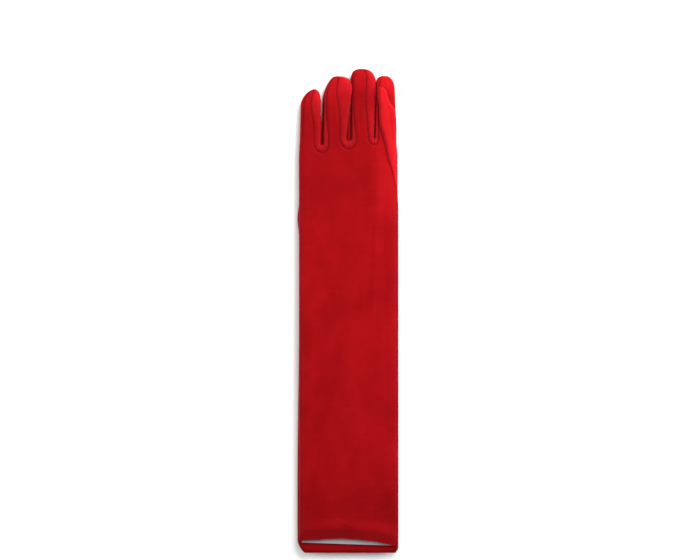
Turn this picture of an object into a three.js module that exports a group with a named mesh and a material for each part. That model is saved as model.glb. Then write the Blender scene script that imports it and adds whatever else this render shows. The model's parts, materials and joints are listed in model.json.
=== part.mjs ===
// A pair of long opera gloves in satin, laid flat: the right glove palm up on the left glove palm
// down, so that the two outlines match. Millimetres. +X runs across the gloves to the thumb side,
// +Y runs to the fingertips, +Z is up, and the origin is under the middle of the pair.
import * as THREE from 'three';

// Driving dimensions. Heights are measured in each glove from its back plane up to its palm.
const SLEEVE_HALF_WIDTH = 59.4;
const SLEEVE_HEIGHT = 7.6;
const SIDE_ROUNDING = 16;
const CLOTH = 0.6;
const HEM_CLOTH = 1.0;
const GAP = 0.3;
const PAIR_OFFSET = 0.9;

const KNUCKLE_LINE = 208;
const SLOPE_START = 110;
const DIGIT_HEIGHT = 3.6;

const BACK_HEM_END = -290;
const BACK_HEM_START = -270;
const PALM_HEM_END = -273;
const PALM_HEM_DEPTH = 22;
const HEM_BOW = 6.5;
const HEM_CORNER = 8;

const CARD_HALF_WIDTH = 56;
const CARD_END = -280;
const CARD_LENGTH = 400;
const CARD_HEIGHT = 1.3;
const CARD_STOCK = 0.5;
const CARD_CORNER = 3;

const THUMB_HEIGHT = DIGIT_HEIGHT + GAP;
const THUMB_TOP = 7.5;
const THUMB_BASE_START = 158;
const THUMB_BASE_RIGHT = 57;
const THUMB_BASE_LEFT_START = 54.5;
const THUMB_BASE_LEFT_END = 41.5;
const THUMB_BASE_ROUNDING = 1;

const CROTCH_RADIUS = 4.5;

// Each finger's base and tip edges across the glove, its reach, and how long its round tip is.
const FINGERS = {
  pinky: { base: [-59.2, -33.2], tip: [-57.6, -35], reach: 267, round: 22 },
  ring: { base: [-29.6, -0.6], tip: [-28.4, 4.6], reach: 282.6, round: 17 },
  middle: { base: [4.2, 32.2], tip: [7.2, 33.4], reach: 290, round: 18 },
  index: { base: [34.8, 56.8], tip: [36, 55], reach: 281, round: 15 },
};

const BODY_SATIN = { color: 0xb01018, roughness: 0.42, metalness: 0 };
const FINGER_SATIN = { color: 0xc2141c, roughness: 0.4, metalness: 0 };
const FOURCHETTE_SATIN = { color: 0x9c0d14, roughness: 0.45, metalness: 0 };
const HEM_SATIN = { color: 0x8e0c12, roughness: 0.48, metalness: 0 };
const GREY_CARD = { color: 0xb4b2b4, roughness: 0.8, metalness: 0 };

function namedMesh(name, geometry, finish) {
  const mesh = new THREE.Mesh(geometry, new THREE.MeshStandardMaterial(finish));
  mesh.name = name;
  return mesh;
}

/** A flat piece cut to an outline in the XY plane, between two heights. */
function flatPiece(outline, low, high) {
  const geometry = new THREE.ExtrudeGeometry(outline, {
    depth: high - low,
    bevelEnabled: false,
    curveSegments: 9,
  });
  return geometry.translate(0, 0, low);
}

/** Height of the palm's outer face, which slopes down from the sleeve to the fingers. */
function palmHeight(y) {
  const along = THREE.MathUtils.smoothstep(y, SLOPE_START, KNUCKLE_LINE);
  return THREE.MathUtils.lerp(SLEEVE_HEIGHT, DIGIT_HEIGHT, along);
}

/** How far the mouth's palm edge dips at a place across the glove. */
function hemDip(x) {
  return HEM_BOW * (x / SLEEVE_HALF_WIDTH) ** 2;
}

/**
 * A point on an arch of cloth: up a rounded side from its foot, straight across the crown and down.
 * The place across the arch runs from 0 to 1, with a share of it in each rounded side.
 */
function archPoint(across, arch, inset) {
  const side = across < 0.5 ? -1 : 1;
  const inward = Math.min(across, 1 - across);
  const turn = Math.min(inward / arch.sideShare, 1) * Math.PI / 2;
  const flat = Math.max(inward - arch.sideShare, 0) / (0.5 - arch.sideShare);
  const rounding = arch.rounding - inset;
  const halfWidth = (arch.right - arch.left) / 2 - inset;
  const reach = halfWidth - rounding * (1 - Math.cos(turn)) - (halfWidth - rounding) * flat;
  const rise = arch.crown - inset - arch.foot;
  return [(arch.left + arch.right) / 2 + side * reach, arch.foot + rise * Math.sin(turn)];
}

/**
 * A panel of cloth of one thickness, arched across the glove. archAt gives the arch at each y, and
 * ends gives the panel's first and last y at each x.
 */
function archedPanel(archAt, ends, wall, acrossSteps, alongSteps) {
  const geometry = new THREE.BoxGeometry(1, 1, 1, acrossSteps, alongSteps, 1);
  const points = geometry.attributes.position;
  for (let i = 0; i < points.count; i++) {
    const across = points.getX(i) + 0.5;
    const along = points.getY(i) + 0.5;
    const inset = points.getZ(i) > 0 ? 0 : wall;
    const [firstY, lastY] = ends(0);
    const arch = archAt(THREE.MathUtils.lerp(firstY, lastY, along));
    const [x, z] = archPoint(across, arch, inset);
    const [startY, endY] = ends(x);
    points.setXYZ(i, x, THREE.MathUtils.lerp(startY, endY, along), z);
  }
  return geometry;
}

function sleeveArch(y) {
  return {
    left: -SLEEVE_HALF_WIDTH,
    right: SLEEVE_HALF_WIDTH,
    foot: CLOTH + GAP,
    crown: palmHeight(y),
    rounding: SIDE_ROUNDING,
    sideShare: 5 / 16,
  };
}

function makePalmPanel(side) {
  const ends = (x) => [
    PALM_HEM_END + PALM_HEM_DEPTH + GAP - hemDip(x),
    KNUCKLE_LINE - GAP / 2,
  ];
  return namedMesh(`${side}_palm_panel`, archedPanel(sleeveArch, ends, CLOTH, 16, 22), BODY_SATIN);
}

function makePalmHem(side) {
  const ends = (x) => [PALM_HEM_END - hemDip(x), PALM_HEM_END + PALM_HEM_DEPTH - hemDip(x)];
  const hemArch = (y) => ({ ...sleeveArch(y), foot: HEM_CLOTH + GAP });
  return namedMesh(`${side}_palm_hem`, archedPanel(hemArch, ends, HEM_CLOTH, 16, 2), HEM_SATIN);
}

function makeBackPanel(side) {
  const outline = new THREE.Shape();
  outline.moveTo(-SLEEVE_HALF_WIDTH, BACK_HEM_START + GAP);
  outline.lineTo(SLEEVE_HALF_WIDTH, BACK_HEM_START + GAP);
  outline.lineTo(SLEEVE_HALF_WIDTH, KNUCKLE_LINE - GAP / 2);
  outline.lineTo(-SLEEVE_HALF_WIDTH, KNUCKLE_LINE - GAP / 2);
  return namedMesh(`${side}_back_panel`, flatPiece(outline, 0, CLOTH), BODY_SATIN);
}

function makeBackHem(side) {
  const edge = SLEEVE_HALF_WIDTH;
  const outline = new THREE.Shape();
  outline.moveTo(-edge, BACK_HEM_START);
  outline.lineTo(-edge, BACK_HEM_END + HEM_CORNER);
  outline.quadraticCurveTo(-edge, BACK_HEM_END, HEM_CORNER - edge, BACK_HEM_END);
  outline.lineTo(edge - HEM_CORNER, BACK_HEM_END);
  outline.quadraticCurveTo(edge, BACK_HEM_END, edge, BACK_HEM_END + HEM_CORNER);
  outline.lineTo(edge, BACK_HEM_START);
  return namedMesh(`${side}_back_hem`, flatPiece(outline, 0, HEM_CLOTH), HEM_SATIN);
}

/** The stiff card that keeps the sleeve flat, from the palm to just outside the palm hem. */
function makeCard(side) {
  const half = CARD_HALF_WIDTH;
  const far = CARD_END + CARD_LENGTH;
  const outline = new THREE.Shape();
  outline.moveTo(-half, CARD_END);
  outline.lineTo(half, CARD_END);
  outline.lineTo(half, far - CARD_CORNER);
  outline.lineTo(half - CARD_CORNER, far);
  outline.lineTo(CARD_CORNER - half, far);
  outline.lineTo(-half, far - CARD_CORNER);
  return namedMesh(`${side}_card`, flatPiece(outline, CARD_HEIGHT, CARD_HEIGHT + CARD_STOCK), GREY_CARD);
}

/** A finger's edge, up its side away from the thumb, round the tip and down its other side. */
function fingerEdge({ base, tip, reach, round }) {
  const edge = new THREE.Path();
  edge.moveTo(base[0], KNUCKLE_LINE + GAP / 2);
  edge.lineTo(tip[0], reach - round);
  edge.absellipse((tip[0] + tip[1]) / 2, reach - round, (tip[1] - tip[0]) / 2, round, Math.PI, 0, true);
  edge.lineTo(base[1], KNUCKLE_LINE + GAP / 2);
  return edge;
}

/** The thumb's edge. The thumb lies across the index finger, with its tip turned to the middle one. */
function thumbEdge() {
  const start = KNUCKLE_LINE + GAP / 2;
  const edge = new THREE.Path();
  edge.moveTo(THUMB_BASE_LEFT_END, start);
  edge.bezierCurveTo(38.4, 220, 36.8, 232, 36.4, 250);
  edge.bezierCurveTo(36.2, 274, 47, 270, 47.4, 255);
  edge.bezierCurveTo(48.4, 246, 57, 240, THUMB_BASE_RIGHT, 226);
  edge.lineTo(THUMB_BASE_RIGHT, start);
  return edge;
}

function outlineOf(edge) {
  return new THREE.Shape(edge.getPoints(9));
}

/**
 * A narrow strip that follows part of a digit's edge on its inner side, one cloth thick. from and to
 * are shares of the edge's length.
 */
function edgeStrip(edge, from, to, steps) {
  const outer = [];
  const inner = [];
  for (let i = 0; i <= steps; i++) {
    const place = THREE.MathUtils.lerp(from, to, i / steps);
    const point = edge.getPointAt(place);
    const heading = edge.getTangentAt(place);
    outer.push(point);
    const innerY = Math.max(point.y - heading.x * CLOTH, KNUCKLE_LINE + GAP / 2);
    inner.unshift(new THREE.Vector2(point.x + heading.y * CLOTH, innerY));
  }
  return new THREE.Shape([...outer, ...inner]);
}

/**
 * One digit: its palm-side and back-side pieces, with strips of cloth standing between them along
 * its edge. Each strip has a name and the share of the edge where it starts and ends.
 */
function makeDigit(name, edge, low, high, strips) {
  const digit = new THREE.Group();
  const outline = outlineOf(edge);
  digit.add(namedMesh(`${name}_back_side`, flatPiece(outline, low, low + CLOTH), FINGER_SATIN));
  digit.add(namedMesh(`${name}_palm_side`, flatPiece(outline, high - CLOTH, high), FINGER_SATIN));
  for (const { piece, from, to, steps } of strips) {
    const finish = piece === 'seam' ? FINGER_SATIN : FOURCHETTE_SATIN;
    const geometry = flatPiece(edgeStrip(edge, from, to, steps), low + CLOTH + GAP, high - CLOTH - GAP);
    digit.add(namedMesh(`${name}_${piece}`, geometry, finish));
  }
  return digit;
}

/** Where each finger has a sewn seam, and where a fourchette's arm is set in instead. */
const FINGER_STRIPS = {
  pinky: [
    { piece: 'seam', from: 0, to: 0.66, steps: 22 },
    { piece: 'fourchette', from: 0.67, to: 1, steps: 4 },
  ],
  ring: [
    { piece: 'outer_fourchette', from: 0, to: 0.36, steps: 4 },
    { piece: 'seam', from: 0.37, to: 0.63, steps: 14 },
    { piece: 'inner_fourchette', from: 0.64, to: 1, steps: 4 },
  ],
  middle: [
    { piece: 'outer_fourchette', from: 0, to: 0.37, steps: 4 },
    { piece: 'seam', from: 0.38, to: 0.62, steps: 14 },
    { piece: 'inner_fourchette', from: 0.63, to: 1, steps: 4 },
  ],
  index: [
    { piece: 'fourchette', from: 0, to: 0.35, steps: 4 },
    { piece: 'seam', from: 0.36, to: 1, steps: 22 },
  ],
};

const THUMB_STRIPS = [{ piece: 'seam', from: 0, to: 1, steps: 32 }];

/** The bend of cloth at the bottom of the gap between two fingers, which joins a fourchette's arms. */
function makeCrotch(name, x) {
  const y = KNUCKLE_LINE - GAP / 2;
  const outline = new THREE.Shape();
  outline.absarc(x, y, CROTCH_RADIUS, Math.PI, 2 * Math.PI, false);
  outline.absarc(x, y, CROTCH_RADIUS - CLOTH, 2 * Math.PI, Math.PI, true);
  const geometry = flatPiece(outline, CLOTH + GAP, DIGIT_HEIGHT - CLOTH - GAP);
  return namedMesh(name, geometry, FOURCHETTE_SATIN);
}

function makeCrotches(side) {
  const names = Object.keys(FINGERS);
  return names.slice(1).map((finger, i) => {
    const gapMiddle = (FINGERS[names[i]].base[1] + FINGERS[finger].base[0]) / 2;
    return makeCrotch(`${side}_${names[i]}_${finger}_crotch`, gapMiddle);
  });
}

/** The root of the thumb, which is set into the palm along its slanted side. */
function makeThumbBase(side) {
  const archAt = (y) => {
    const along = (y - THUMB_BASE_START) / (KNUCKLE_LINE - THUMB_BASE_START);
    return {
      left: THREE.MathUtils.lerp(THUMB_BASE_LEFT_START, THUMB_BASE_LEFT_END, along),
      right: THUMB_BASE_RIGHT,
      foot: palmHeight(y) + GAP,
      crown: THUMB_TOP,
      rounding: THUMB_BASE_ROUNDING,
      sideShare: 3 / 10,
    };
  };
  const ends = () => [THUMB_BASE_START, KNUCKLE_LINE - GAP / 2];
  return namedMesh(`${side}_thumb_base`, archedPanel(archAt, ends, CLOTH, 10, 10), FINGER_SATIN);
}

function makeGlove(side) {
  const glove = new THREE.Group();
  glove.add(makePalmPanel(side), makeBackPanel(side), makePalmHem(side), makeBackHem(side));
  glove.add(makeCard(side), makeThumbBase(side), ...makeCrotches(side));
  for (const [finger, size] of Object.entries(FINGERS)) {
    const name = `${side}_${finger}`;
    glove.add(makeDigit(name, fingerEdge(size), 0, DIGIT_HEIGHT, FINGER_STRIPS[finger]));
  }
  glove.add(makeDigit(`${side}_thumb`, thumbEdge(), THUMB_HEIGHT, THUMB_TOP, THUMB_STRIPS));
  return glove;
}

const leftGlove = makeGlove('left');
leftGlove.scale.z = -1;
leftGlove.position.set(-PAIR_OFFSET, 0, SLEEVE_HEIGHT);

const rightGlove = makeGlove('right');
rightGlove.position.set(PAIR_OFFSET, 0, SLEEVE_HEIGHT + GAP);

const gloves = new THREE.Group();
gloves.add(leftGlove, rightGlove);

export default gloves;
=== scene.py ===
"""A pair of long satin opera gloves lying flat, the right one palm up on the left one palm down.

Each glove is shaped in a frame of its own, in millimetres: x runs across it to the thumb side, y runs
to the fingertips, and h is the height above its back plane, towards its palm. The left glove is turned
over, so its h points to the floor.
"""

import json
import math

import bpy
import numpy as np
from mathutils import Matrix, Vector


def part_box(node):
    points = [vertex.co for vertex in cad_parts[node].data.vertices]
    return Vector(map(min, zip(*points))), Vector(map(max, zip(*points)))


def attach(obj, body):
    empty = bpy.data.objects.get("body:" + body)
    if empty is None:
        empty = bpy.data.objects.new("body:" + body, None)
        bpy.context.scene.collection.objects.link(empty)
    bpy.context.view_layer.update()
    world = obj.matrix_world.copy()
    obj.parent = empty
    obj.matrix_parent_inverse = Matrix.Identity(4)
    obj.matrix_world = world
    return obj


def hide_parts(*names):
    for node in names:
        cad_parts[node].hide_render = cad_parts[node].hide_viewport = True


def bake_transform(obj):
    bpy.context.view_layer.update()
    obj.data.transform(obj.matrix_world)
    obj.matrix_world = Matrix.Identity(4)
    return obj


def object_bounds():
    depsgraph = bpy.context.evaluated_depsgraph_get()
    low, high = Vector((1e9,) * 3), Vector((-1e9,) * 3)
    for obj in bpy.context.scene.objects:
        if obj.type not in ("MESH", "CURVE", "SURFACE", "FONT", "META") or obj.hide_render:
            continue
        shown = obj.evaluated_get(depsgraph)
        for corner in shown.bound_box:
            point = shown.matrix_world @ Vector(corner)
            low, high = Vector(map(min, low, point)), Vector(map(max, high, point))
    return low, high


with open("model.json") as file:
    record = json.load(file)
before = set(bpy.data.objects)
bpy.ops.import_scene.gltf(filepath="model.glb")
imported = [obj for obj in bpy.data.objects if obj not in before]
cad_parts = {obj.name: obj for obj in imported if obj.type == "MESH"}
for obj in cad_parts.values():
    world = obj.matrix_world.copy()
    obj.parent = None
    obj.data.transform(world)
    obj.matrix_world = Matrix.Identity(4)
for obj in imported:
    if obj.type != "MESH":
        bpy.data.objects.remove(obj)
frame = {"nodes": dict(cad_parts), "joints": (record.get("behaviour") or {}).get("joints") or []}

CAD_LOW, CAD_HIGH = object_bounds()
MM = 0.001

# Cloth and sewing
CLOTH = 0.35
HEM_FOLD, HEM_OVERLAP = 12, 3
THREAD, THREAD_SINK = 0.2, 0.12
STITCH, STITCH_GAP = 2.2, 1.1
SEAM_DEPTH, SEAM_WIDTH, SEAM_REACH = 1.15, 1.35, 3.2
BAND_PUFF = 0.6

# The mouth: how far its palm edge is above the back's, the back's hem, how much shorter the upper
# glove's is, and how far up its cut corner runs
MOUTH_UP = 17.6
BACK_HEM, BACK_HEM_LIFT, HEM_CORNER = 20, 3, 15

# How many points each run of a mesh has across
PANEL_POINTS, PALM_HEM_POINTS, BACK_HEM_POINTS = 24, 70, 64
DIGIT_POINTS, BACK_SIDE_POINTS, ARM_POINTS, STRIP_POINTS = 26, 20, 13, 10

# Heights above the glove's back plane
FLOOR_SIDE = 0.1
RIM = 1.7
SLEEVE_TOP = 7.25
FINGER_TOP = 4.7
INDEX_DROP = 1.0
THUMB_UNDER = 3.95
DROOP = 2.1

# How far from an edge the cloth has rounded over to its full height
PALM_ROUNDING, THUMB_SIDE_ROUNDING = 10.5, 26
BACK_ROUNDING = 4.0
THUMB_ROUNDING = 4.6
SIDE_STRIP = 3.6

# The length of a fingertip's painted highlight. Then where painted shade darkens the satin near the mouth and
# on the palm, from none to all, in metres, and where a painted highlight lightens it at the thumb's side,
# along and across.
TIP_HIGHLIGHT_LENGTH = 38
MOUTH_SHADE = (-0.185, -0.24)
PALM_SHADE = (0.1, 0.15)
THUMB_SIDE_LIGHT = (0.09, 0.15), (0.018, 0.046)

FLOOR = "floor"
FINGERS = ("pinky", "ring", "middle", "index")

# Each finger's tip: its highest point's share of the width, and each side's curve, as a length and how
# square it is. An arm's share of the width is given from the knuckles to the tip. Moved is how far the
# cloth's edges are from the frame's, at the knuckles and at the tip, and short is the same for its end.
SHAPES = {
    "pinky": {
        "peak": 0.68, "tips": (19, 18), "square": (1.7, 2.2), "short": 2.0,
        "moved": ((0.9, 0.2), (-0.4, 2.0)),
        "right_arm": [(0, 0.31), (0.3, 0.36), (0.55, 0.47), (1, 0.5)],
    },
    "ring": {
        "peak": 0.43, "tips": (30, 17), "square": (1.7, 3.0), "short": 2.2,
        "moved": ((-0.4, -0.3), (-2.2, -0.2)),
        "left_arm": [(0, 0.21), (0.3, 0.11), (0.6, 0.06), (1, 0.05)],
        "right_arm": [(0, 0.28), (0.2, 0.33), (0.5, 0.44), (0.75, 0.58), (1, 0.66)],
    },
    "middle": {
        "peak": 0.42, "tips": (14, 18), "square": (2.9, 2.3), "short": 0.8,
        "moved": ((0.0, -2.6), (-1.9, -0.6)),
        "left_arm": [(0, 0.18), (0.22, 0.09), (0.5, 0.05), (1, 0.05)],
        "right_arm": [(0, 0.26), (0.25, 0.34), (0.5, 0.41), (0.8, 0.4), (1, 0.36)],
    },
    "index": {
        "peak": 0.42, "tips": (11, 20), "square": (2.5, 2.4), "short": 0.4,
        "moved": ((-2.9, -1.9), (0.0, 0.0)),
        "left_arm": [(0, 0.14), (0.3, 0.12), (1, 0.08)],
        "right_arm": None,
    },
}

# Each gap between two fingers: how far its bottom is below the knuckle line, and how deep the bend of
# the fourchette is below that.
GAPS = {
    "pinky_ring": {"depth": 10, "band": 9.3},
    "ring_middle": {"depth": 5.4, "band": 9.6},
    "middle_index": {"depth": 2.4, "band": 7.6},
}
BACK_ARM, BACK_BAND = 3.4, 4.6

# The lower glove's fingers lie flatter and wider, so that they nearly touch: the gap left between two,
# and how far each one's left edge is moved out. The index finger's is moved in, to fold past the upper
# glove's middle finger.
LOWER_GAP = 0.35
LOWER_GROWTH = {"pinky": 0, "ring": 0.2, "middle": 0.2, "index": -0.8}

# How far the lower glove's left edge is tucked in, to lie under the upper one's
LOWER_TUCK = 2.0

# The thumb's sides: distance from the knuckle line, and share of the thumb's width.
THUMB_LEFT = [
    (-60, 0.97), (-48, 0.86), (-25, 0.55), (-3, 0.28), (20, 0.02), (37, -0.03), (48, -0.08), (56, -0.08),
]
THUMB_RIGHT = [
    (-60, 1.02), (-10, 1), (17, 1), (27, 0.96), (33, 0.88), (38, 0.7), (43, 0.57), (50, 0.46), (54, 0.43),
]
THUMB_TIPS, THUMB_SQUARE, THUMB_PEAK = (8, 10), (2.2, 1.7), 0.13
THUMB_START, THUMB_SEAM = -60, 1.5

# Long shallow ruckles in a sleeve: centre, half length, half width, turn in degrees and height.
RUCKLES = [
    (31, 60, 120, 3.0, 2, 0.62), (43, 30, 150, 2.4, -1, -0.5), (-20, 150, 22, 3.6, 38, 0.36),
    (14, 168, 20, 3.0, -30, 0.32), (-46, -40, 150, 3.5, 1.5, 0.36), (8, -120, 60, 6.0, -9, 0.32),
    (-26, 40, 50, 5.0, 14, -0.34), (26, -190, 42, 5.0, 12, 0.34), (-12, -225, 30, 4.0, 74, 0.3),
    (30, -236, 22, 3.4, -78, 0.26), (2, 96, 26, 4.4, 62, 0.3), (-34, 172, 13, 2.6, 20, 0.34),
    (-40, 96, 40, 4.0, -24, 0.3), (18, 20, 44, 5.0, 28, 0.3), (-8, -20, 52, 5.0, -22, -0.28),
    (36, -90, 46, 4.0, 18, 0.34), (-30, -160, 50, 5.0, -16, 0.3), (6, 176, 9, 2.2, 4, 0.3),
    (-4, -254, 15, 2.0, -66, 0.6), (34, 182, 12, 2.4, -14, 0.34),
]


def smooth(value, low, high):
    share = np.clip((np.asarray(value, float) - low) / (high - low), 0, 1)
    return share * share * (3 - 2 * share)


def through(stops, place):
    """A smooth curve through stops of (place, value)."""
    places, values = np.array(stops, float).T
    slopes = np.gradient(values, places)
    place = np.clip(place, places[0], places[-1])
    i = np.clip(np.searchsorted(places, place, side="right") - 1, 0, len(places) - 2)
    span = places[i + 1] - places[i]
    s = (place - places[i]) / span
    start = (1 + 2 * s) * (1 - s) ** 2 * values[i] + s * (1 - s) ** 2 * span * slopes[i]
    end = s * s * (3 - 2 * s) * values[i + 1] + s * s * (s - 1) * span * slopes[i + 1]
    return start + end


def rounded(depth, radius):
    """How much of its height cloth has reached at a depth in from a rounded edge."""
    return np.sqrt(1 - (1 - np.clip(np.asarray(depth, float) / radius, 0, 1)) ** 2)


def seam_value(distance):
    """1 on a seam, falling to 0 where its pull on the cloth ends."""
    return np.exp(-((np.asarray(distance) / SEAM_REACH) ** 2))


def crease(x, y, turn, length, width):
    """A short ridge of height 1 through (0, 0), turned by an angle in degrees from the y axis."""
    c, s = math.cos(math.radians(turn)), math.sin(math.radians(turn))
    return np.exp(-(((x * s + y * c) / length) ** 2) - ((x * c - y * s) / width) ** 2)


def spaced(start, end, count, edges="both"):
    """count places from start to end, closer together at the ends that edges names."""
    s = np.linspace(0, 1, count)
    if edges == "both":
        s = (1 - np.cos(np.pi * s)) / 2
    elif edges == "start":
        s = 1 - np.cos(np.pi / 2 * s)
    elif edges == "end":
        s = np.sin(np.pi / 2 * s)
    return start + (end - start) * s


class Finger:
    """A finger's outline: the CAD finger's sides, with a shaped tip."""

    def __init__(self, glove, name):
        self.lower = glove.up < 0
        self.next = None
        node = f"{glove.side}_{name}_palm_side"
        corners = np.array([v.co for v in frame["nodes"][node].data.vertices]) / MM
        corners[:, 0] -= glove.centre / MM
        self.name = name
        self.shape = SHAPES[name]
        self.reach = corners[:, 1].max() - self.shape["short"]
        self.rows = []
        (base_left, tip_left), (base_right, tip_right) = self.shape["moved"]
        moves = ((base_left, base_right), (tip_left, tip_right))
        for y, (left, right) in zip(np.unique(corners[:, 1].round(2))[:2], moves):
            across = corners[np.abs(corners[:, 1] - y) < 0.05, 0]
            self.rows.append((y, across.min() + left, across.max() + right))
        self.knuckle = glove.knuckle

    def sides(self, y):
        """The x of the finger's left and right edges."""
        left, right = self.cut_sides(y)
        if not self.lower:
            return left, right
        if self.next is not None:
            start = self.next.reach - max(self.next.shape["tips"])
            low_y = np.minimum(y, start)
            gap = self.next.cut_sides(low_y)[0] - self.cut_sides(low_y)[1]
            level = 1 - smooth(y, self.reach - 44, self.reach - 14)
            right = right + np.clip(gap - LOWER_GAP - LOWER_GROWTH[self.next.name], 0, 8) * level
        if self.name == "pinky":
            return left + np.minimum(LOWER_TUCK, 0.25 * (right - left)), right
        return left - LOWER_GROWTH[self.name] * (1 - smooth(y, self.reach - 26, self.reach - 4)), right

    def cut_sides(self, y):
        (y0, *base), (y1, *top) = self.rows
        peak = top[0] + self.shape["peak"] * (top[1] - top[0])
        found = []
        for i in (0, 1):
            start = self.reach - self.shape["tips"][i]
            side = base[i] + (top[i] - base[i]) * (np.minimum(y, start) - y0) / (y1 - y0)
            climb = np.clip((y - start) / (self.reach - start), 0, 1)
            square = self.shape["square"][i]
            found.append(peak + (side - peak) * (1 - climb ** square) ** (1 / square))
        return found

    def seams(self, y, face):
        """The x of the seams between the finger's panel and its left and right arms."""
        left, right = self.sides(y)
        along = (np.asarray(y) - self.knuckle) / (self.reach - self.knuckle)
        width = right - left
        if face == "back":
            arm = np.minimum(BACK_ARM, 0.3 * width)
            first = left if self.name == "pinky" else left + arm
            return first, right if self.name == "index" else right - arm
        if self.name == "pinky":
            first = left + np.minimum(SIDE_STRIP, 0.2 * width)
        else:
            first = left + through(self.shape["left_arm"], along) * width
        if self.shape["right_arm"] is None:
            return first, right
        return first, right - through(self.shape["right_arm"], along) * width

    def along(self):
        """The places of the rows of a finger's mesh, closer together at its tip."""
        start = self.reach - max(self.shape["tips"])
        side = np.arange(self.knuckle, start, 1.6)
        return np.concatenate([side, spaced(start, self.reach, 30, "end")])


class Gap:
    """The gap between two fingers, with a round bottom that a bend of the fourchette goes round."""

    def __init__(self, name, left, right, glove):
        knuckle = glove.knuckle
        left_edge, right_edge = left.sides(knuckle)[1], right.sides(knuckle)[0]
        self.name = name
        self.middle = (left_edge + right_edge) / 2
        self.half = (right_edge - left_edge) / 2
        self.turn = knuckle - GAPS[name]["depth"] + self.half
        self.knuckle = knuckle
        self.arms = {
            "palm": (
                left_edge - left.seams(knuckle, "palm")[1],
                right.seams(knuckle, "palm")[0] - right_edge,
            ),
            "back": (BACK_ARM, BACK_ARM),
        }
        self.band = {"palm": GAPS[name]["band"], "back": BACK_BAND}

    def depth(self, x, y):
        """Distance of a point from the gap's edge."""
        below = np.maximum(self.turn - y, 0)
        return np.hypot(x - self.middle, below) - self.half

    def bottom(self, face):
        return self.turn - self.half - self.band[face]

    def seam(self, y, face, side):
        """The x of the fourchette's outer seam, or of the gap's middle below it. side is -1 or 1."""
        arm = self.arms[face][0 if side < 0 else 1]
        below = np.maximum(self.turn - y, 0) / (self.half + self.band[face])
        return self.middle + side * (self.half + arm) * np.sqrt(np.clip(1 - below ** 2, 0, None))

    def across(self, x, y, face):
        """(distance from the outer seam, share of the way from the gap to the seam)."""
        arm = np.where(x < self.middle, *self.arms[face])
        run, below = np.abs(x - self.middle), np.maximum(self.turn - y, 0)
        reach = np.maximum(np.hypot(run, below), 1e-6)
        share = np.maximum(np.hypot(run / (self.half + arm), below / (self.half + self.band[face])), 1e-6)
        seam = reach / share
        return np.abs(reach - seam), (reach - self.half) / (seam - self.half)


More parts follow.
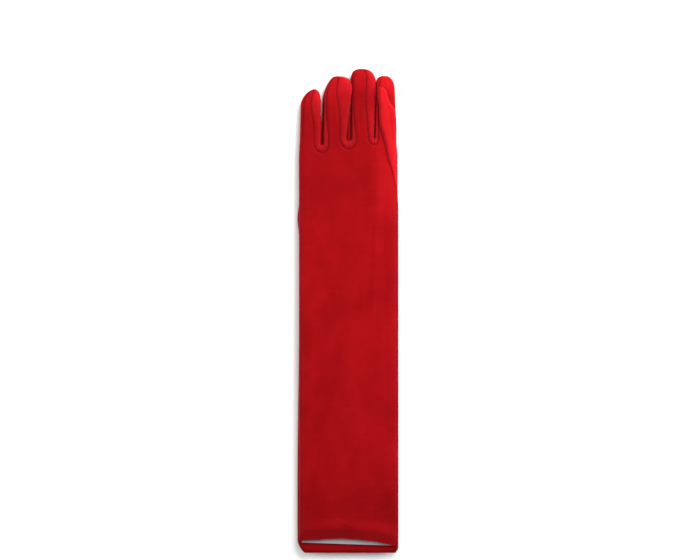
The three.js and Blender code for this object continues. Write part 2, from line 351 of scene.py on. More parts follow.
class Glove:
    """One glove's place and sizes, read from the frame, and the heights of its two faces."""

    def __init__(self, side):
        self.side = side
        self.body = f"{side}_glove"
        low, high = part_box(f"{side}_back_panel")
        palm_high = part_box(f"{side}_palm_panel")[1]
        self.up = 1 if palm_high.z > high.z else -1
        self.centre = (low.x + high.x) / 2
        self.plane = low.z if self.up > 0 else high.z
        self.half = (high.x - low.x) / 2 / MM
        joint = next(j for j in frame["joints"] if j["name"] == f"{side}_pinky_fold")
        self.knuckle = joint["pos_m"][1] / MM
        self.hem_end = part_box(f"{side}_back_hem")[0].y / MM
        self.mouth_row = self.hem_end + MOUTH_UP
        self.hem_top = self.mouth_row + HEM_FOLD + HEM_OVERLAP
        self.hem_lift = BACK_HEM_LIFT if side == "right" else 0
        self.fingers = {name: Finger(self, name) for name in FINGERS}
        for name, following in zip(FINGERS, FINGERS[1:]):
            self.fingers[name].next = self.fingers[following]
        self.gaps = [
            Gap(name, self.fingers[FINGERS[i]], self.fingers[FINGERS[i + 1]], self)
            for i, name in enumerate(GAPS)
        ]
        card_low, card_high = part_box(f"{side}_card")
        self.card_low, self.card_half = card_low.y / MM, (card_high.x - card_low.x) / 2 / MM
        thumb_low, thumb_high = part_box(f"{side}_thumb_palm_side")
        self.thumb_box = [(v - self.centre) / MM for v in (thumb_low.x, thumb_high.x)]
        self.thumb_reach = thumb_high.y / MM

    def place(self, points):
        """Points of the glove's frame, in millimetres, as points of the shared frame in metres."""
        x, y, h = points.T
        return np.column_stack([self.centre + x * MM, y * MM, self.plane + self.up * h * MM])

    def sides(self, y):
        """The sleeve's left and right edges, which run on into the outer fingers."""
        hand = smooth(y, self.knuckle - 24, self.knuckle)
        left = self.fingers["pinky"].sides(self.knuckle)[0]
        right = self.fingers["index"].sides(self.knuckle)[1]
        tuck, right_tuck = 0, 0.9 * smooth(y, self.knuckle - 90, self.knuckle - 60) * (1 - hand)
        if self.up < 0:
            tuck = LOWER_TUCK * (smooth(y, -210, 20) - 1.0 * np.exp(-(((y - 110) / 15) ** 2))) * (1 - hand)
        left = -self.half + (left + self.half) * hand + tuck
        return left, self.half + (right - self.half) * hand - right_tuck

    def card_end(self, x):
        """The y of the card's end in the mouth, which was cut a little out of square."""
        return self.card_low + 0.9 - 1.9 * x / self.card_half

    def top(self, x, y):
        """Full height of the palm face."""
        slope = smooth(y, self.knuckle - 98, self.knuckle)
        drop = INDEX_DROP * smooth(x, 27, 38) * smooth(y, self.knuckle - 60, self.knuckle)
        return SLEEVE_TOP + (FINGER_TOP - SLEEVE_TOP) * slope - drop

    def ruckles(self, x, y):
        mirror = self.up
        height = np.zeros(np.broadcast(x, y).shape)
        for across, along, length, width, turn, rise in RUCKLES:
            c, s = math.cos(math.radians(turn)), math.sin(math.radians(turn))
            u, v = (x - mirror * across) * c - (y - along) * s, (x - mirror * across) * s + (y - along) * c
            height += rise * np.exp(-((v / length) ** 2) - (u / width) ** 2)
        height += 0.16 * np.sin(y / 23 + x / 17 + mirror) + 0.12 * np.sin(y / 13 - x / 21)
        height *= 1 - smooth(y, self.knuckle - 30, self.knuckle - 4)
        return height if self.up > 0 else np.minimum(0.5 * height, 0.3)

    def face(self, x, y, left_depth, right_depth, face):
        if face == "palm":
            full = rounded(left_depth, PALM_ROUNDING) * rounded(right_depth, PALM_ROUNDING)
            radius = THUMB_SIDE_ROUNDING * (1 - smooth(y, self.knuckle - 70, self.knuckle)) + 1
            side = (self.sides(y)[1] - x) / radius
            full = full * rounded(side, 1)
            return RIM + (self.top(x, y) + self.ruckles(x, y) - RIM) * full
        full = rounded(left_depth, BACK_ROUNDING) * rounded(right_depth, BACK_ROUNDING)
        return RIM - (RIM - FLOOR_SIDE) * full

    def hand(self, x, y, face):
        """Height and seam value below the knuckle line."""
        left, right = self.sides(y)
        depths = [x - left, right - x]
        seam, puff = np.zeros(np.broadcast(x, y).shape), 0
        for gap in self.gaps:
            distance, share = gap.across(x, y, face)
            seam = np.maximum(seam, seam_value(distance))
            inside = np.clip(share, 0, 1)
            puff = puff + 4 * inside * (1 - inside)
            depth = gap.depth(x, y)
            depths[0] = np.where(x > gap.middle, np.minimum(depths[0], depth), depths[0])
            depths[1] = np.where(x <= gap.middle, np.minimum(depths[1], depth), depths[1])
            if face == "palm":
                turn = np.arctan2(x - gap.middle, gap.turn - y)
                below = smooth(gap.turn - y, 0, 3)
                puff = puff * (1 - 0.35 * np.exp(-(((x - gap.middle) / 6) ** 2)) * below)
                puff = puff + 1.7 * inside * (1 - inside) * np.sin(8 * turn + gap.middle) * below
                puff = puff + 0.8 * crease(x - gap.middle - 1.5, y - gap.turn + gap.half + 4.4, 52, 3.6, 0.8)
        if face == "palm":
            seam = np.maximum(seam, 0.9 * seam_value(x - left - SIDE_STRIP))
        return self.finish(x, y, depths[0], depths[1], seam, puff, face), seam

    def finish(self, x, y, left_depth, right_depth, seam, puff, face):
        height = self.face(x, y, left_depth, right_depth, face)
        groove = seam ** ((SEAM_REACH / SEAM_WIDTH) ** 2)
        if face == "back":
            return height + 0.4 * SEAM_DEPTH * groove
        height = height - SEAM_DEPTH * groove + BAND_PUFF * puff
        return height if self.up > 0 else np.minimum(height, SLEEVE_TOP + 0.3)

    def digit(self, finger, x, y, face):
        """Height and seam value on a finger, above the knuckle line."""
        left, right = finger.sides(y)
        first, last = finger.seams(y, face)
        near = np.minimum(1, (right - left) / 9)
        seam, puff = np.zeros(np.broadcast(x, y).shape), 0
        for edge, line in ((left, first), (right, last)):
            if np.max(np.abs(line - edge)) > 0.2:
                seam = np.maximum(seam, seam_value(x - line))
                share = np.clip((x - edge) / np.where(np.abs(line - edge) < 1e-6, 1, line - edge), 0, 1)
                wide = 0 if finger.name == "pinky" and edge is left else 4
                puff = puff + wide * share * (1 - share)
        if face == "palm":
            puff = puff + self.finger_ruckles(finger, x, y, left, right)
        height = self.finish(x, y, x - left, right - x, seam * near, puff * near, face)
        if finger.name != "index":
            height = height - self.up * DROOP * smooth(y, self.knuckle, self.knuckle + 44)
        return height, seam

    def finger_ruckles(self, finger, x, y, left, right):
        """Soft creases that run up a finger, and dents across it, starting above the knuckle line."""
        share = (x - left) / np.maximum(right - left, 1)
        number = FINGERS.index(finger.name)
        y = y - self.knuckle
        long = 0.5 * np.exp(-(((share - 0.36 - 0.05 * np.sin(y / 12 + number)) / 0.07) ** 2))
        dents = 0.4 * np.sin(y / 5.3 + 2.1 * number + 5 * share) * np.sin(y / 13.7 + number)
        return (dents - long) * smooth(y, 0, 16)

    def thumb_sides(self, y):
        low, high = self.thumb_box
        along = y - self.knuckle
        peak = low + THUMB_PEAK * (high - low)
        found = []
        for i, stops in enumerate((THUMB_LEFT, THUMB_RIGHT)):
            start = self.thumb_reach - THUMB_TIPS[i]
            side = low + (high - low) * through(stops, np.minimum(along, start - self.knuckle))
            climb = np.clip((y - start) / (self.thumb_reach - start), 0, 1)
            found.append(peak + (side - peak) * (1 - climb ** THUMB_SQUARE[i]) ** (1 / THUMB_SQUARE[i]))
        return found

    def thumb(self, x, y, face):
        """Height and seam value on the thumb, which lies on the palm and the index finger."""
        left, right = self.thumb_sides(y)
        palm = self.hand(x, np.minimum(y, self.knuckle), "palm")[0] + 0.12
        free = smooth(y, self.knuckle - 18, self.knuckle + 2)
        under = palm * (1 - free) + THUMB_UNDER * free
        start = 1.5 if self.up > 0 else 0.5
        thick = start + (3.45 - start) * smooth(y, self.knuckle - 62, self.knuckle)
        full = rounded(x - left, THUMB_ROUNDING) * rounded(right - x, THUMB_ROUNDING)
        rim = under + 0.3 * thick
        seam = seam_value(x - left - THUMB_SEAM) * np.minimum(1, (right - left) / 12)
        if face == "back":
            return rim - 0.3 * thick * full, 0 * seam
        groove = 0.5 * seam ** ((SEAM_REACH / 0.8) ** 2)
        above = smooth(y, self.knuckle - 20, self.knuckle + 14)
        fold = 0.5 * np.exp(-(((x - 0.36 * left - 0.64 * right) / 1.3) ** 2)) * above
        fold -= 0.25 * np.exp(-(((x - 0.66 * left - 0.34 * right) / 1.6) ** 2)) * above
        height = rim + (0.7 * thick - groove - fold) * full
        return height if self.up > 0 else np.minimum(height, SLEEVE_TOP + 0.25), seam


def grid(rows):
    """Rows of equally many points, each row a list of (x, y, h, seam) columns, as one array."""
    return np.array([np.concatenate(row, axis=0) for row in rows])


def weld(points, quads):
    """Joins points that coincide, and drops the quads' corners that fall together."""
    keys = np.round(points[:, :3] * 5000).astype(np.int64)
    _, first, index = np.unique(keys, axis=0, return_index=True, return_inverse=True)
    index = index.reshape(-1)
    faces = []
    for quad in index[quads]:
        face = [int(v) for i, v in enumerate(quad) if v != quad[i - 1]]
        if len(set(face)) == len(face) > 2:
            faces.append(face)
    return points[first], faces


def quads_of(grids, flip):
    points, quads, start = [], [], 0
    for g in grids:
        rows, columns = g.shape[:2]
        n = start + np.arange(rows * columns).reshape(rows, columns)
        corners = [n[:-1, :-1], n[:-1, 1:], n[1:, 1:], n[1:, :-1]]
        block = np.stack([c.ravel() for c in corners], axis=1)
        quads.append(block[:, ::-1] if flip else block)
        points.append(g.reshape(-1, g.shape[2]))
        start += rows * columns
    return np.concatenate(points), np.concatenate(quads)


def new_object(name, points, faces, seam, glove, reach=None):
    """A mesh object with its cloth, seam and tip attributes, smooth except at its cut edges."""
    mesh = bpy.data.meshes.new(name)
    mesh.from_pydata(points.tolist(), [], faces)
    mesh.polygons.foreach_set("use_smooth", [True] * len(mesh.polygons))
    mesh.set_sharp_from_angle(angle=math.radians(55))
    own = (points - [glove.centre, 0, glove.plane]) * [1, 1, glove.up]
    cloth = mesh.attributes.new("cloth", "FLOAT_VECTOR", "POINT")
    cloth.data.foreach_set("vector", own.astype(np.float32).ravel())
    # tip rises to 1 over a fingertip's last millimetres, and the satin uses it for a painted highlight.
    tip = smooth(own[:, 1] / MM, reach - TIP_HIGHLIGHT_LENGTH, reach) if reach else np.zeros(len(points))
    # The seam value also darkens the satin there as painted shade.
    for key, values in (("seam", seam), ("tip", tip)):
        attribute = mesh.attributes.new(key, "FLOAT", "POINT")
        attribute.data.foreach_set("value", np.asarray(values, np.float32))
    mesh.validate()
    piece = bpy.data.objects.new(name, mesh)
    bpy.context.scene.collection.objects.link(piece)
    return piece


def cut_size(grids):
    """Width, length and area of the flat cloth that the grids were cut from, in metres."""
    girth, longest, area = 0, 0, 0
    for g in grids:
        points = g[..., :3] * MM
        across = np.linalg.norm(np.diff(points, axis=1), axis=2)
        along = np.linalg.norm(np.diff(points, axis=0), axis=2)
        girth = girth + across.sum(1)
        longest = max(longest, along.sum(0).max())
        first, second = points[1:, 1:] - points[:-1, :-1], points[1:, :-1] - points[:-1, 1:]
        area += np.linalg.norm(np.cross(first, second), axis=2).sum() / 2
    width = girth.max()
    if area < 0.5 * width * longest:  # a strip cut straight and sewn round a bend
        longest = area / width
    return width, longest, min(area, width * longest)


def shell(name, glove, grids, thickness=CLOTH, reach=None):
    """A piece of cloth of one thickness whose outer face is the grids."""
    cut_size(grids)
    points, quads = quads_of(grids, glove.up < 0)
    points, faces = weld(points, quads)
    outer = glove.place(points[:, :3])
    face_mesh = bpy.data.meshes.new("outer_face")
    face_mesh.from_pydata(outer.tolist(), [], faces)
    normals = np.array([n.vector for n in face_mesh.vertex_normals])
    bpy.data.meshes.remove(face_mesh)
    count = len(outer)
    used = {(a, b) for face in faces for a, b in zip(face, face[1:] + face[:1])}
    rim = [[b, a, a + count, b + count] for a, b in used if (b, a) not in used]
    rim.sort()
    inner = [[v + count for v in reversed(face)] for face in faces]
    both = np.concatenate([outer, outer - normals * thickness * MM])
    return new_object(name, both, faces + inner + rim, np.tile(points[:, 3], 2), glove, reach)


def tube(path, radius, sides=6):
    """Points and faces of a closed round tube along a path."""
    path = np.asarray(path, float)
    ahead = np.gradient(path, axis=0)
    ahead /= np.maximum(np.linalg.norm(ahead, axis=1, keepdims=True), 1e-9)
    across = np.cross(ahead, [0, 0, 1.0])
    across /= np.maximum(np.linalg.norm(across, axis=1, keepdims=True), 1e-9)
    above = np.cross(across, ahead)
    angles = np.arange(sides) * 2 * np.pi / sides
    ring = across[:, None] * np.cos(angles)[:, None] + above[:, None] * np.sin(angles)[:, None]
    points = (path[:, None] + radius * ring).reshape(-1, 3)
    faces = []
    for i in range(len(path) - 1):
        for j in range(sides):
            a, b = i * sides + j, i * sides + (j + 1) % sides
            faces.append([a, a + sides, b + sides, b])
    faces.append(list(range(sides)))
    faces.append(list(range(len(points) - 1, len(points) - 1 - sides, -1)))
    return points, faces


def threads(name, glove, paths, radius=THREAD):
    """One piece of thread tubes along paths of (x, y, h)."""
    points, faces = [], []
    for path in paths:
        tube_points, tube_faces = tube(glove.place(np.asarray(path, float)), radius * MM)
        if glove.up < 0:
            tube_faces = [face[::-1] for face in tube_faces]
        start = sum(len(p) for p in points)
        faces += [[v + start for v in face] for face in tube_faces]
        points.append(tube_points)
    points = np.concatenate(points)
    return new_object(name, points, faces, np.zeros(len(points)), glove)


def strip_row(places, y, face, heights):
    """One run of points at one y: x, y, h and seam value."""
    x = np.asarray(places, float)
    h, seam = heights(x, np.full_like(x, y), face)
    return np.column_stack([x, np.full_like(x, y), h, seam])


def mouth_dip(x):
    """How far the mouth's palm edge is below its highest place."""
    x = np.asarray(x, float)
    bow = np.where(x < -10, 2.6 * ((x + 10) / 47) ** 2, 9.6 * ((x + 10) / 68) ** 2)
    return bow + 0.25 * np.sin(x / 7.5) + 0.15 * np.sin(x / 3.1 + 1)


def hem_profile(glove, row, x):
    """Height added near the mouth: the cloth rises over the hem's fold and falls to the mouth."""
    down = glove.mouth_row + 23 - row
    height = 1.9 if glove.up > 0 else 0
    rise = height * smooth(down, -3, 9)
    fall = (height + 2.6) * smooth(down, 9, 25)
    edge = np.clip(1 - (np.abs(x) / glove.half) ** 8, 0, 1)
    return (rise - fall) * edge


def over_hem(glove, block):
    """Lifts cloth over the hem, and bends it to the bow of the mouth."""
    block[..., 2] += hem_profile(glove, block[..., 1], block[..., 0])
    return bowed(glove, block)


def bowed(glove, block):
    """Bends the sleeve's lowest rows to the bow of the mouth."""
    row = block[..., 1].copy()
    share = 1 - smooth(row, glove.hem_top, glove.hem_top + 90)
    block[..., 1] = row - mouth_dip(block[..., 0]) * share
    return block


def sleeve_rows(glove, face):
    start = glove.hem_top if face == "palm" else glove.hem_end + BACK_HEM
    rows = list(np.arange(start, start + 45, 1.5)) + list(np.arange(start + 45, glove.knuckle - 26, 2.8))
    for gap in glove.gaps:
        depth = gap.half + gap.band[face]
        rows += list(gap.turn - depth * np.cos(np.linspace(0, np.pi / 2, 14)))
    rows += list(np.arange(glove.knuckle - 26, glove.knuckle, 1.4)) + [glove.knuckle]
    rows = np.unique(np.round(rows, 4))
    keep = [rows[0]]
    fixed = {round(gap.bottom(face), 4) for gap in glove.gaps} | {round(glove.knuckle, 4)}
    for y in rows[1:]:
        if y - keep[-1] > 0.12 or round(y, 4) in fixed:
            keep.append(y)
    return np.array(keep)


def panel_grids(glove, face):
    """The palm or back panel, as one strip of cloth for each finger, which join below the gaps."""
    strips = []
    for i, name in enumerate(FINGERS):
        rows = []
        for y in sleeve_rows(glove, face):
            left, right = glove.sides(y)
            if i == 0:
                first = left + SIDE_STRIP if face == "palm" else left
            else:
                first = glove.gaps[i - 1].seam(y, face, 1)
            last = glove.gaps[i].seam(y, face, -1) if i < 3 else right
            places = spaced(first, last, PANEL_POINTS)
            if face == "back":
                places = places[::-1]
            rows.append([strip_row(places, y, face, glove.hand)])
        strips.append(grid(rows))
    return strips


def palm_panel(glove):
    blocks = [over_hem(glove, block) for block in panel_grids(glove, "palm")]
    return shell(f"{glove.side}_palm_cloth", glove, blocks)


def back_panel(glove):
    return shell(f"{glove.side}_back_cloth", glove, panel_grids(glove, "back"))


def side_strip(glove):
    """The back cloth's turn over the side, from the edge up to the side seam."""
    rows = []
    low_rows = np.arange(glove.mouth_row + 1, glove.hem_top, 1.5)
    for y in np.concatenate([low_rows, sleeve_rows(glove, "palm")]):
        left = glove.sides(y)[0]
        places = spaced(left, left + SIDE_STRIP, STRIP_POINTS, "start")
        rows.append([strip_row(places, y, "palm", glove.hand)])
    return shell(f"{glove.side}_side_strip", glove, [over_hem(glove, grid(rows))])


def palm_hem(glove):
    """The palm's hem: the cloth runs on to the mouth, turns over a round fold and runs back inside."""
    fold = [(glove.mouth_row + 0.1, 0.02), (glove.mouth_row - 0.2, 0.28), (glove.mouth_row + 0.1, 0.55)]
    outer = [(y, 0.0) for y in np.arange(glove.hem_top, glove.mouth_row + 0.5, -0.9)]
    inner = [(y, 0.6) for y in np.arange(glove.mouth_row + 0.8, glove.mouth_row + HEM_FOLD, 1.2)]
    rows = []
    for y, inset in (outer + fold + inner)[::-1]:
        left, right = glove.sides(max(y, glove.mouth_row))
        places = spaced(left + SIDE_STRIP, right - 0.01, PALM_HEM_POINTS)
        run = strip_row(places, y, "palm", glove.hand)
        run[:, 2] += hem_profile(glove, y, run[:, 0])
        run[:, 2] -= inset
        run[:, 0] *= 1 - inset / glove.half
        rows.append([run])
    return shell(f"{glove.side}_palm_hem_cloth", glove, [bowed(glove, grid(rows))])


def back_hem(glove):
    """The back's hem: a flat doubled band whose lower corners are round."""
    top, end = glove.hem_end + BACK_HEM, glove.hem_end + glove.hem_lift
    start = end + HEM_CORNER
    cut, bend_power = (8.5, 1.7) if glove.up > 0 else (9.5, 1.5)
    rows = []
    for y in np.concatenate([np.arange(top, start, -1.6), spaced(start, end, 34, "end")])[::-1]:
        left, right = glove.sides(y)
        climb = np.clip((start - y) / HEM_CORNER, 0, 1)
        corner = np.clip((end + 3 - y) / 3, 0, 1)
        close = rounded(y - end + 0.02, 1.4) if y < end + 1.4 else 1
        left = left + 0.2 + cut * (1 - (1 - climb ** bend_power) ** (1 / bend_power))
        right = right - 0.2 - 2.2 * (1 - math.sqrt(1 - corner ** 2))
        across = spaced(left, right, BACK_HEM_POINTS)
        full = rounded(across - left, 1.5) * rounded(right - across, 1.5) * close
        ripple = 0.12 * np.sin(across / 9 + 1.3) * full
        fall = 0.3 * smooth(end + 13 - y, 0, 12) * full
        # Painted shadow: the card's end shades the hem just below it. This rides in the seam value, which
        # darkens the satin.
        card_end_shadow = np.exp(-(((y - glove.card_end(across) + 0.9) / 5) ** 2))
        level = np.full(BACK_HEM_POINTS, y)
        over = np.column_stack([across, level, 0.62 + 0.45 * full + ripple - fall, card_end_shadow])
        under = np.column_stack([across, level, 0.62 - 0.47 * full, 0 * across])[::-1]
        rows.append([over, under])
    return shell(f"{glove.side}_back_hem_cloth", glove, [grid(rows)], 0.3)


def crotch(glove, gap):
    """A fourchette's bend round the bottom of a gap, from the palm's seam to the back's."""
    quarter = np.pi / 2
    stations = [(quarter, y) for y in np.linspace(gap.knuckle, gap.turn, 4)[:-1]]
    stations += [(turn, gap.turn) for turn in np.linspace(quarter, -quarter, 41)]
    stations += [(-quarter, y) for y in np.linspace(gap.turn, gap.knuckle, 4)[1:]]
    rows = []
    for turn, y0 in stations:
        inner = (gap.middle - gap.half * math.sin(turn), y0 - gap.half * math.cos(turn))
        runs = []
        for face in ("back", "palm"):
            arm = gap.arms[face][0 if turn > 0 else 1]
            outer = (
                gap.middle - (gap.half + arm) * math.sin(turn),
                y0 - (gap.half + gap.band[face]) * math.cos(turn),
            )
            s = spaced(0, 1, ARM_POINTS, "start")
            x, y = inner[0] + (outer[0] - inner[0]) * s, inner[1] + (outer[1] - inner[1]) * s
            h, seam = glove.hand(x, y, face)
            run = np.column_stack([x, y, h, seam])
            runs.append(run[::-1] if face == "back" else run)
        rows.append(runs)
    return shell(f"{glove.side}_{gap.name}_gusset", glove, [grid(rows)])


def digit_grid(glove, finger, runs):
    """Rows of a finger's mesh. runs gives each run's face and the two lines that it lies between."""
    def heights(x, y, face):
        return glove.digit(finger, x, y, face)

    rows = []
    for y in finger.along():
        left, right = finger.sides(y)
        lines = {"left": left, "right": right}
        for face in ("palm", "back"):
            lines[f"{face}_first"], lines[f"{face}_last"] = finger.seams(y, face)
        rows.append([
            strip_row(spaced(lines[start], lines[end], count, edges), y, face, heights)
            for face, start, end, count, edges in runs
        ])
    return grid(rows)


def digit_pieces(glove, finger):
    """The grid of each of a finger's cloth pieces."""
    name = finger.name
    palm_end = "right" if name == "index" else "palm_last"
    back_start = "right" if name == "index" else "back_last"
    back_end = "left" if name == "pinky" else "back_first"
    pieces = {
        "palm_side": [("palm", "palm_first", palm_end, DIGIT_POINTS, "both")],
        "back_side": [("back", back_start, back_end, BACK_SIDE_POINTS, "both")],
    }
    if name == "pinky":
        pieces["seam"] = [("palm", "left", "palm_first", STRIP_POINTS, "start")]
    else:
        left_arm = {"ring": "outer_fourchette", "middle": "outer_fourchette", "index": "fourchette"}[name]
        pieces[left_arm] = [
            ("back", "back_first", "left", ARM_POINTS, "end"),
            ("palm", "left", "palm_first", ARM_POINTS, "start"),
        ]
    if name != "index":
        right_arm = {"pinky": "fourchette"}.get(name, "inner_fourchette")
        pieces[right_arm] = [
            ("palm", "palm_last", "right", ARM_POINTS, "end"),
            ("back", "right", "back_last", ARM_POINTS, "start"),
        ]
    return {part: digit_grid(glove, finger, runs) for part, runs in pieces.items()}


def seam_paths(glove, finger):
    """Paths of the thread in a finger's seams on the palm face."""
    y = finger.along()[:-2]
    return [
        np.column_stack([line, y, glove.digit(finger, line, y, "palm")[0] - THREAD_SINK])
        for line in finger.seams(y, "palm")
    ]


def thumb_rows(glove, start, end):
    tip = glove.thumb_reach - max(THUMB_TIPS)
    side = np.arange(start, min(end, tip), 1.6)
    if end < glove.thumb_reach:
        return np.append(side, end)
    return np.concatenate([side, spaced(tip, glove.thumb_reach, 24, "end")])


def thumb_grid(glove, start, end, faces):
    rows = []
    for y in thumb_rows(glove, start, end):
        left, right = glove.thumb_sides(y)
        row = []
        for face in faces:
            ends = (left, right) if face == "palm" else (right, left)
            row.append(strip_row(spaced(*ends, DIGIT_POINTS), y, face, glove.thumb))
        rows.append(row)
    return grid(rows)


def card(glove):
    """The stiff card inside the sleeve. Its end was cut a little out of square."""
    low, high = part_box(f"{glove.side}_card")
    heights = sorted(abs(z - glove.plane) / MM for z in (low.z, high.z))
    rows = []
    for s in spaced(0, 1, 60):
        x = np.linspace(-glove.card_half, glove.card_half, PANEL_POINTS)
        end = glove.card_end(x)
        y = end + (high.y / MM - end) * s
        h = np.full(PANEL_POINTS, heights[1]) + 0.12 * np.sin(y / 60) * np.cos(x / 30)
        rows.append([np.column_stack([x, y, h, 0 * x])])
    return shell(f"{glove.side}_card_board", glove, [grid(rows)], heights[1] - heights[0])


def hem_stitches(glove):
    """Two rows of stitches along the top of the palm hem's fold."""
    paths = []
    for line in (glove.mouth_row + HEM_FOLD, glove.mouth_row + HEM_FOLD - 1.6):
        for x in np.arange(-glove.half + 6, glove.half - 3, STITCH + STITCH_GAP):
            places = np.linspace(x, x + STITCH, 5)
            y = np.full(5, line)
            h = glove.hand(places, y, "palm")[0] + hem_profile(glove, y, places)
            sink = 0.16 * np.array([1, 0, -0.3, 0, 1])
            paths.append(np.column_stack([places, y - mouth_dip(places), h - sink]))
    return threads(f"{glove.side}_hem_stitches", glove, paths, 0.16)


def gusset_threads(glove):
    paths = []
    for gap in glove.gaps:
        turn = np.linspace(np.pi / 2, -np.pi / 2, 40)
        arms = np.where(turn > 0, *gap.arms["palm"])
        x = gap.middle - (gap.half + arms) * np.sin(turn)
        y = gap.turn - (gap.half + gap.band["palm"]) * np.cos(turn)
        x = np.concatenate([[x[0]], x, [x[-1]]])
        y = np.concatenate([[gap.knuckle], y, [gap.knuckle]])
        paths.append(np.column_stack([x, y, glove.hand(x, y, "palm")[0] - THREAD_SINK]))
    return threads(f"{glove.side}_gusset_threads", glove, paths)


# Materials

class Paint:
    """A material, with short ways to add nodes to it and link them."""

    def __init__(self, name, values):
        self.material = bpy.data.materials.new(name)
        self.material.use_nodes = True
        self.link = self.material.node_tree.links.new
        self.shader = self.material.node_tree.nodes["Principled BSDF"]
        for key, value in values.items():
            self.shader.inputs[key].default_value = value

    def add(self, kind, values=None, **settings):
        """A node with its settings, and its inputs' values or the outputs linked to them."""
        node = self.material.node_tree.nodes.new("ShaderNode" + kind)
        for key, value in settings.items():
            setattr(node, key, value)
        for key, value in (values or {}).items():
            if isinstance(value, bpy.types.NodeSocket):
                self.link(value, node.inputs[key])
            else:
                node.inputs[key].default_value = value
        return node

    def attribute(self, name, output="Fac"):
        return self.add("Attribute", attribute_name=name).outputs[output]

    def mixed(self, factor, first, second, blend="MIX"):
        mix = self.add("Mix", {"A": first, "B": second, "Factor": factor}, data_type="RGBA", blend_type=blend)
        return mix.outputs["Result"]

    def tinted(self, factor, colour, tint):
        return self.mixed(factor, colour, (*tint, 1), "MULTIPLY")

    def maths(self, operation, first, second):
        return self.add("Math", {0: first, 1: second}, operation=operation).outputs[0]

    def weighted(self, *parts):
        """The sum of outputs, each times its weight."""
        total, *others = [self.maths("MULTIPLY", output, weight) for output, weight in parts]
        for part in others:
            total = self.maths("ADD", total, part)
        return total

    def ranged(self, value, values, **settings):
        return self.add("MapRange", {"Value": value, **values}, **settings).outputs["Result"]


def satin(name, deep, bright, roughness=0.5):
    """Satin: fine ribs across the cloth, slubs, uneven dye, painted shade in the seams, near the mouth and on
    the palm, and painted highlights at the thumb's side and the fingertips.
    """
    paint = Paint(name, {
        "Roughness": roughness, "IOR": 1.45, "Specular IOR Level": 0.1,
        "Specular Tint": (1.0, 0.09, 0.12, 1), "Sheen Weight": 0.3,
        "Sheen Roughness": 0.45, "Sheen Tint": (1.0, 0.14, 0.19, 1),
    })
    cloth, seam, tip = paint.attribute("cloth", "Vector"), paint.attribute("seam"), paint.attribute("tip")
    place = paint.add("SeparateXYZ", {"Vector": cloth})

    def noise(scale, stretch, detail):
        mapping = paint.add("Mapping", {"Scale": stretch, "Vector": cloth})
        values = {"Scale": scale, "Detail": detail, "Vector": mapping.outputs["Vector"]}
        return paint.add("TexNoise", values).outputs["Fac"]

    def wave(scale, distortion, detail):
        values = {"Scale": scale, "Distortion": distortion, "Detail": detail, "Vector": cloth}
        return paint.add("TexWave", values, bands_direction="Y").outputs["Fac"]

    def towards(start, end, axis="Y"):
        ends = {"From Min": start, "From Max": end}
        return paint.ranged(place.outputs[axis], ends, interpolation_type="SMOOTHSTEP")

    dye = noise(14, (1, 1, 1), 4)
    slub = noise(60, (0.6, 22, 1), 2)
    pile = noise(900, (1, 1.6, 1), 2)
    mottle = noise(55, (1, 0.7, 1), 3)
    tone = paint.weighted((dye, 0.45), (slub, 0.2), (mottle, 0.35))
    colour = paint.mixed(paint.ranged(tone, {"From Min": 0.36, "From Max": 0.64}), deep, bright)
    # Painted shade: the satin is darkened towards the mouth, and again over the palm and the fingers.
    colour = paint.tinted(towards(*MOUTH_SHADE), colour, (0.8, 0.78, 0.78))
    colour = paint.tinted(towards(*PALM_SHADE), colour, (0.91, 0.9, 0.9))
    # Painted highlight: the satin is lightened at the thumb's side of the palm.
    along, across = THUMB_SIDE_LIGHT
    thumb_side_highlight = paint.maths("MULTIPLY", towards(*along), towards(*across, "X"))
    colour = paint.tinted(thumb_side_highlight, colour, (1.45, 1.65, 1.65))
    # Painted highlight: the satin is lightened towards each fingertip.
    colour = paint.tinted(tip, colour, (1.5, 1.9, 1.9))
    # Painted shade: the satin is darkened in and beside each seam's groove, and most on its line.
    seam_shade, line = paint.maths("POWER", seam, 5.5), paint.maths("POWER", seam, 70)
    colour = paint.tinted(paint.weighted((seam_shade, 0.45), (line, 0.35)), colour, (0.4, 0.34, 0.34))
    paint.link(colour, paint.shader.inputs["Base Color"])
    rough = paint.ranged(slub, {"To Min": roughness - 0.07, "To Max": roughness + 0.08})
    paint.link(rough, paint.shader.inputs["Roughness"])

    pucker = paint.maths("MULTIPLY", wave(95, 5, 2), seam)
    relief = paint.weighted((wave(520, 1.2, 1), 0.3), (slub, 0.7), (pile, 0.3), (pucker, 1.3))
    bump = paint.add("Bump", {"Strength": 0.4, "Distance": 0.00012, "Height": relief})
    soft = paint.add("Bump", {
        "Strength": 0.45, "Distance": 0.0014, "Height": noise(42, (1, 0.4, 1), 2),
        "Normal": bump.outputs["Normal"],
    })
    paint.link(soft.outputs["Normal"], paint.shader.inputs["Normal"])
    return paint.material


def board():
    """Grey card with fine fibres: partly its own grey, and darkened further as painted shade for the shadow
    it lies in inside the mouth.
    """
    paint = Paint("card_board", {"Roughness": 0.75, "Specular IOR Level": 0.3})
    cloth = paint.attribute("cloth", "Vector")
    fibre = paint.add("TexNoise", {"Scale": 420, "Detail": 6, "Vector": cloth}).outputs["Fac"]
    colour = paint.mixed(fibre, (0.25, 0.235, 0.255, 1), (0.34, 0.32, 0.345, 1))
    bump = paint.add("Bump", {"Strength": 0.3, "Distance": 0.0001, "Height": fibre})
    paint.link(colour, paint.shader.inputs["Base Color"])
    paint.link(bump.outputs["Normal"], paint.shader.inputs["Normal"])
    return paint.material


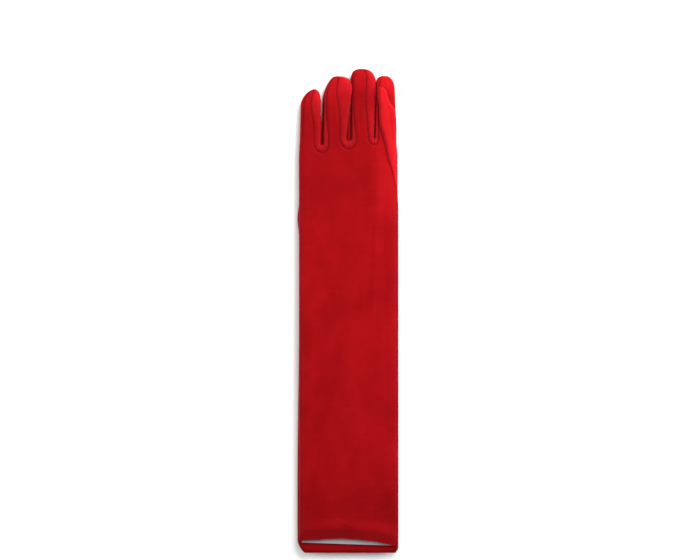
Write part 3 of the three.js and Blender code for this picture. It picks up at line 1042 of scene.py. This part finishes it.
RED = ((0.215, 0.0019, 0.003, 1), (0.3, 0.0034, 0.0051, 1))
MATERIALS = {
    "body_satin": satin("body_satin", *RED),
    "finger_satin": satin("finger_satin", *RED),
    # The fourchettes' satin is a lighter copy of the body's: painted light for the way their rounded bands
    # catch the lamps.
    "fourchette_satin": satin("fourchette_satin", (0.25, 0.0028, 0.0046, 1), (0.34, 0.005, 0.008, 1), 0.47),
    "hem_satin": satin("hem_satin", *RED),
    # The thumb's satin is a lighter copy of the body's: a painted highlight for its sheen where it faces the
    # lamps.
    "thumb_lit_satin": satin("thumb_lit_satin", (0.32, 0.0038, 0.006, 1), (0.42, 0.007, 0.0103, 1), 0.46),
    "thread": satin("thread", (0.17, 0.0016, 0.003, 1), (0.23, 0.003, 0.005, 1), 0.58),
    "card_stock": board(),
}


def coat(piece, slot, replaces, material):
    """Gives a piece its material and hides the CAD nodes that it stands for."""
    piece.data.materials.append(MATERIALS[material or slot])
    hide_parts(*replaces)


def dress(piece, slot, body, replaces=(), material=None):
    """Coats a piece and lets it ride on its body."""
    coat(piece, slot, replaces, material)
    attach(piece, body)


def bend(piece, slot, replaces=(), material=None):
    """Coats a digit's piece and bakes its place into its mesh."""
    coat(piece, slot, replaces, material)
    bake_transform(piece)


def make_digits(glove):
    side = glove.side
    for name, finger in glove.fingers.items():
        for part, block in digit_pieces(glove, finger).items():
            node = f"{side}_{name}_{part}"
            slot = "fourchette_satin" if "fourchette" in part else "finger_satin"
            piece = shell(f"{node}_cloth", glove, [block], reach=finger.reach)
            bend(piece, slot, [node])
        seam_nodes = [] if name == "pinky" else [f"{side}_{name}_seam"]
        stitching = threads(f"{side}_{name}_threads", glove, seam_paths(glove, finger))
        bend(stitching, "finger_satin", seam_nodes, "thread")


def make_thumb(glove):
    side, knuckle, reach = glove.side, glove.knuckle, glove.thumb_reach
    base = shell(f"{side}_thumb_base_cloth", glove, [
        thumb_grid(glove, knuckle + THUMB_START, knuckle, ("palm", "back"))])
    dress(base, "finger_satin", glove.body, [f"{side}_thumb_base"], "thumb_lit_satin")
    for face in ("palm", "back"):
        piece = shell(f"{side}_thumb_{face}_side_cloth", glove, [thumb_grid(glove, knuckle, reach, (face,))])
        bend(piece, "finger_satin", [f"{side}_thumb_{face}_side"], "thumb_lit_satin")
    y = thumb_rows(glove, knuckle, reach)[:-2]
    left = glove.thumb_sides(y)[0] + THUMB_SEAM
    path = np.column_stack([left, y, glove.thumb(left, y, "palm")[0] - 0.1])
    stitching = threads(f"{side}_thumb_threads", glove, [path])
    bend(stitching, "finger_satin", [f"{side}_thumb_seam"], "thread")


def make_glove(side):
    glove = Glove(side)

    def made(make, slot, *nodes, body=glove.body, material=None):
        piece = make(glove)
        dress(piece, slot, body, [f"{side}_{node}" for node in nodes], material)
        return piece

    palm = made(palm_panel, "body_satin", "palm_panel")
    back = made(back_panel, "body_satin", "back_panel")
    strip = made(side_strip, "body_satin")
    hem = made(palm_hem, "hem_satin", "palm_hem")
    lower_hem = made(back_hem, "hem_satin", "back_hem")
    stitches = made(hem_stitches, "hem_satin", material="thread")
    board = made(card, "card_stock", "card", body=f"{side}_card")
    gusset_stitches = made(gusset_threads, "fourchette_satin", material="thread")
    for gap in glove.gaps:
        gusset = crotch(glove, gap)
        dress(gusset, "fourchette_satin", glove.body, [f"{side}_{gap.name}_crotch"])
    make_digits(glove)
    make_thumb(glove)
    return glove


def studio():
    """A plain pale floor, soft lamps and a camera straight above the gloves."""
    scene = bpy.context.scene
    mesh = bpy.data.meshes.new(FLOOR)
    mesh.from_pydata([(-4, -4, 0), (4, -4, 0), (4, 4, 0), (-4, 4, 0)], [], [(0, 1, 2, 3)])
    floor = bpy.data.objects.new(FLOOR, mesh)
    floor.location.z = -0.0003
    scene.collection.objects.link(floor)
    material = Paint("floor_white", {
        "Base Color": (0.93, 0.93, 0.93, 1), "Roughness": 0.9, "Specular IOR Level": 0.1}).material
    mesh.materials.append(material)

    world = bpy.data.worlds.new("studio")
    world.use_nodes = True
    world.node_tree.nodes["Background"].inputs["Color"].default_value = (1, 1, 1, 1)
    world.node_tree.nodes["Background"].inputs["Strength"].default_value = 0.38
    scene.world = world
    for name, place, size, power in (
        ("key", (0.6, 1.25, 1.0), 0.8, 29.5),
        ("side", (1.3, 0.35, 0.6), 0.6, 13),
        ("fill", (-1.2, 0.1, 0.6), 0.7, 11),
        ("low", (0.0, -1.5, 0.7), 0.8, 2),
        ("sun", (0.5, 0.9, 1.2), None, 0.5),
    ):
        lamp = bpy.data.lights.new(name, "AREA" if size else "SUN")
        lamp.energy = power
        if size:
            lamp.size = size
        else:
            lamp.angle = math.radians(30)
        holder = bpy.data.objects.new(name, lamp)
        holder.location = place
        direction = Vector((0, 0.05, 0)) - Vector(place)
        holder.rotation_euler = direction.to_track_quat("-Z", "Y").to_euler()
        holder.visible_camera = False
        scene.collection.objects.link(holder)

    centre = (CAD_LOW + CAD_HIGH) / 2
    height, shown_width = 2.5, 0.84
    camera = bpy.data.cameras.new("camera")
    camera.sensor_width = 36
    camera.lens = 36 * height / shown_width
    holder = bpy.data.objects.new("camera", camera)
    holder.location = (centre.x + 0.0025, centre.y + 0.0366, height)
    scene.collection.objects.link(holder)
    scene.camera = holder
    scene.view_settings.view_transform = "Standard"


studio()
for glove_side in ("left", "right"):
    make_glove(glove_side)
